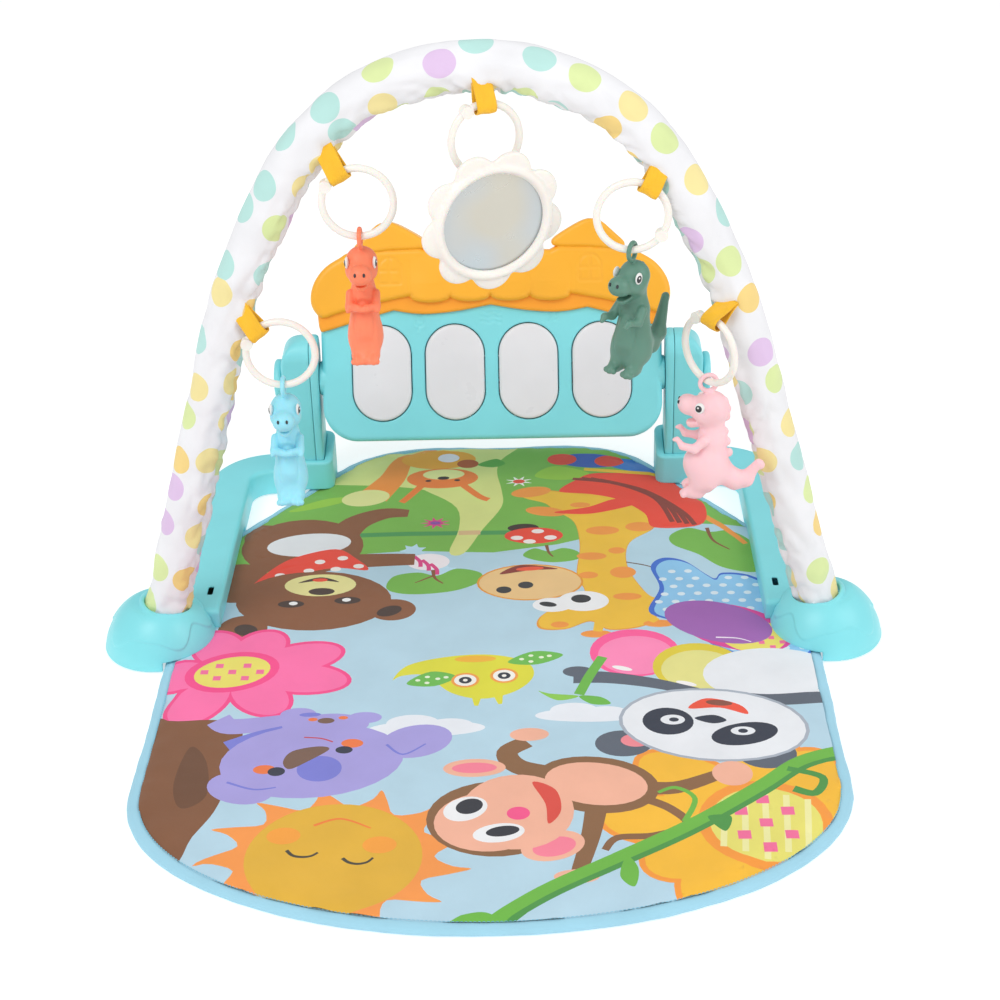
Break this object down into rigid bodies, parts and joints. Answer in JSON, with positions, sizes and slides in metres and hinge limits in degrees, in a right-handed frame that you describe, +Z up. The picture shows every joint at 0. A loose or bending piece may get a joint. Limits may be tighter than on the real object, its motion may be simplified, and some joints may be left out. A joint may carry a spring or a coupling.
{
  "type": "activity play gym",
  "caption": "Baby activity gym: padded oval mat under a fabric-covered toy arch, with hanging rings and toys and a tilting kick piano.",
  "frame": {"origin": "middle of the mat's footprint, on the floor", "axes": "+X to the right, +Y back towards the piano along the mat's length, +Z up"},
  "size_m": [0.688, 0.748, 0.5385],
  "materials": {
    "printed_fabric": "printed polyester, satin weave",
    "wadding": "soft fibre filling",
    "backing_fabric": "plain non-woven backing",
    "binding_fabric": "sewn binding tape",
    "turquoise_plastic": "satin moulded plastic",
    "steel": "zinc plated",
    "rubber_pad": "matt rubber",
    "tube_plastic": "plain tube",
    "plug_plastic": "plain moulded plastic",
    "sleeve_fabric": "printed woven polyester with dots",
    "webbing": "ribbed webbing",
    "orange_plastic": "satin moulded plastic",
    "key_plastic": "satin translucent white plastic",
    "ring_plastic": "translucent cream plastic",
    "blue_vinyl": "soft vinyl",
    "coral_vinyl": "soft vinyl",
    "green_vinyl": "soft vinyl",
    "pink_vinyl": "soft vinyl",
    "mirror_foil": "acrylic safety mirror",
    "board": "printed circuit laminate",
    "speaker_black": "paper cone and steel basket",
    "battery_shell": "metal can",
    "silicone": "soft silicone"
  },
  "bodies": {
    "base": {"mat_top_fabric": "printed_fabric", "mat_filling": "wadding", "mat_backing": "backing_fabric", "mat_binding": "binding_fabric", "side_frame_left": "turquoise_plastic", "side_frame_right": "turquoise_plastic", "foot_dome_left": "turquoise_plastic", "foot_dome_right": "turquoise_plastic", "frame_screws": "steel", "anti_slip_pads": "rubber_pad", "arch_tube_left": "tube_plastic", "arch_tube_top": "tube_plastic", "arch_tube_right": "tube_plastic", "arch_joining_plugs": "plug_plastic", "arch_padding": "wadding", "arch_sleeve": "sleeve_fabric", "hang_loop_1": "webbing", "hang_loop_2": "webbing", "hang_loop_3": "webbing", "hang_loop_4": "webbing", "hang_loop_5": "webbing"},
    "stand": {"post_outer_left": "turquoise_plastic", "post_outer_right": "turquoise_plastic", "post_inner_left": "turquoise_plastic", "post_inner_right": "turquoise_plastic", "pivot_cap_left": "turquoise_plastic", "pivot_cap_right": "turquoise_plastic", "post_screws": "steel"},
    "piano": {"piano_front_shell": "turquoise_plastic", "piano_back_shell": "turquoise_plastic", "piano_roof_front": "orange_plastic", "piano_roof_back": "orange_plastic", "pivot_shafts": "steel", "circuit_board": "board", "speaker": "speaker_black", "battery_contacts": "steel", "batteries": "battery_shell", "key_return_pads": "silicone", "case_screws": "steel"},
    "battery_door": {"battery_door": "turquoise_plastic"},
    "power_switch": {"power_switch": "orange_plastic"},
    "key_1": {"key_1": "key_plastic"},
    "key_2": {"key_2": "key_plastic"},
    "key_3": {"key_3": "key_plastic"},
    "key_4": {"key_4": "key_plastic"},
    "hang_ring_1": {"hang_ring_1": "ring_plastic"},
    "hang_ring_2": {"hang_ring_2": "ring_plastic"},
    "hang_ring_3": {"hang_ring_3": "ring_plastic"},
    "hang_ring_4": {"hang_ring_4": "ring_plastic"},
    "hang_ring_5": {"hang_ring_5": "ring_plastic"},
    "blue_dinosaur": {"blue_dinosaur": "blue_vinyl"},
    "coral_dinosaur": {"coral_dinosaur": "coral_vinyl"},
    "green_dinosaur": {"green_dinosaur": "green_vinyl"},
    "pink_dinosaur": {"pink_dinosaur": "pink_vinyl"},
    "mirror_toy": {"mirror_frame": "ring_plastic", "mirror_plate": "mirror_foil", "mirror_back": "ring_plastic"}
  },
  "joints": [
    {"name": "stand_lift", "type": "slide", "parent": "base", "child": "stand", "axis": [0, 0, 1], "range_m": [0, 0.03]},
    {"name": "piano_tilt", "type": "hinge", "parent": "stand", "child": "piano", "pos_m": [0, 0.308, 0.12], "axis": [1, 0, 0], "range_deg": [-30, 35]},
    {"name": "key_1_press", "type": "slide", "parent": "piano", "child": "key_1", "axis": [0, 0.9336, -0.3584], "range_m": [0, 0.003], "stiffness_N_per_m": 400, "springref_m": -0.001},
    {"name": "key_2_press", "type": "slide", "parent": "piano", "child": "key_2", "axis": [0, 0.9336, -0.3584], "range_m": [0, 0.003], "stiffness_N_per_m": 400, "springref_m": -0.001},
    {"name": "key_3_press", "type": "slide", "parent": "piano", "child": "key_3", "axis": [0, 0.9336, -0.3584], "range_m": [0, 0.003], "stiffness_N_per_m": 400, "springref_m": -0.001},
    {"name": "key_4_press", "type": "slide", "parent": "piano", "child": "key_4", "axis": [0, 0.9336, -0.3584], "range_m": [0, 0.003], "stiffness_N_per_m": 400, "springref_m": -0.001},
    {"name": "power_switch_slide", "type": "slide", "parent": "piano", "child": "power_switch", "axis": [1, 0, 0], "range_m": [0, 0.004]},
    {"name": "battery_door_hinge", "type": "hinge", "parent": "piano", "child": "battery_door", "pos_m": [0, 0.31102, 0.07428], "axis": [-1, 0, 0], "range_deg": [0, 100]},
    {"name": "hang_ring_1_swing", "type": "hinge", "parent": "base", "child": "hang_ring_1", "pos_m": [-0.182, 0.001, 0.31145], "axis": [0.766, 0, 0.6428], "range_deg": [-30, 12]},
    {"name": "hang_ring_2_swing", "type": "hinge", "parent": "base", "child": "hang_ring_2", "pos_m": [-0.108, 0.001, 0.44225], "axis": [0.866, 0, 0.5], "range_deg": [-30, 12]},
    {"name": "hang_ring_3_swing", "type": "hinge", "parent": "base", "child": "hang_ring_3", "pos_m": [0.007, 0.001, 0.495], "axis": [0.9272, 0.3746, 0], "range_deg": [-30, 12]},
    {"name": "hang_ring_4_swing", "type": "hinge", "parent": "base", "child": "hang_ring_4", "pos_m": [0.134, 0.001, 0.42625], "axis": [0.866, 0, -0.5], "range_deg": [-30, 12]},
    {"name": "hang_ring_5_swing", "type": "hinge", "parent": "base", "child": "hang_ring_5", "pos_m": [0.1855, -0.00399, 0.31473], "axis": [0.6365, -0.7586, -0.1392], "range_deg": [-15, 3]},
    {"name": "coral_dinosaur_swing", "type": "hinge", "parent": "hang_ring_2", "child": "coral_dinosaur", "pos_m": [-0.094, 0.001, 0.39], "axis": [1, 0, 0], "range_deg": [-25, 20]},
    {"name": "blue_dinosaur_swing", "type": "hinge", "parent": "hang_ring_1", "child": "blue_dinosaur", "pos_m": [-0.164, 0.001, 0.262], "axis": [1, 0, 0], "range_deg": [-25, 25]},
    {"name": "green_dinosaur_swing", "type": "hinge", "parent": "hang_ring_4", "child": "green_dinosaur", "pos_m": [0.12, 0.001, 0.374], "axis": [1, 0, 0], "range_deg": [-20, 20]},
    {"name": "pink_dinosaur_swing", "type": "hinge", "parent": "hang_ring_5", "child": "pink_dinosaur", "pos_m": [0.183, -0.001, 0.259], "axis": [0.6428, -0.766, 0], "range_deg": [-12, 3]},
    {"name": "mirror_toy_swing", "type": "hinge", "parent": "hang_ring_3", "child": "mirror_toy", "pos_m": [0.007, 0.001, 0.439], "axis": [0.9272, 0.3746, 0], "range_deg": [-12, 15]}
  ]
}
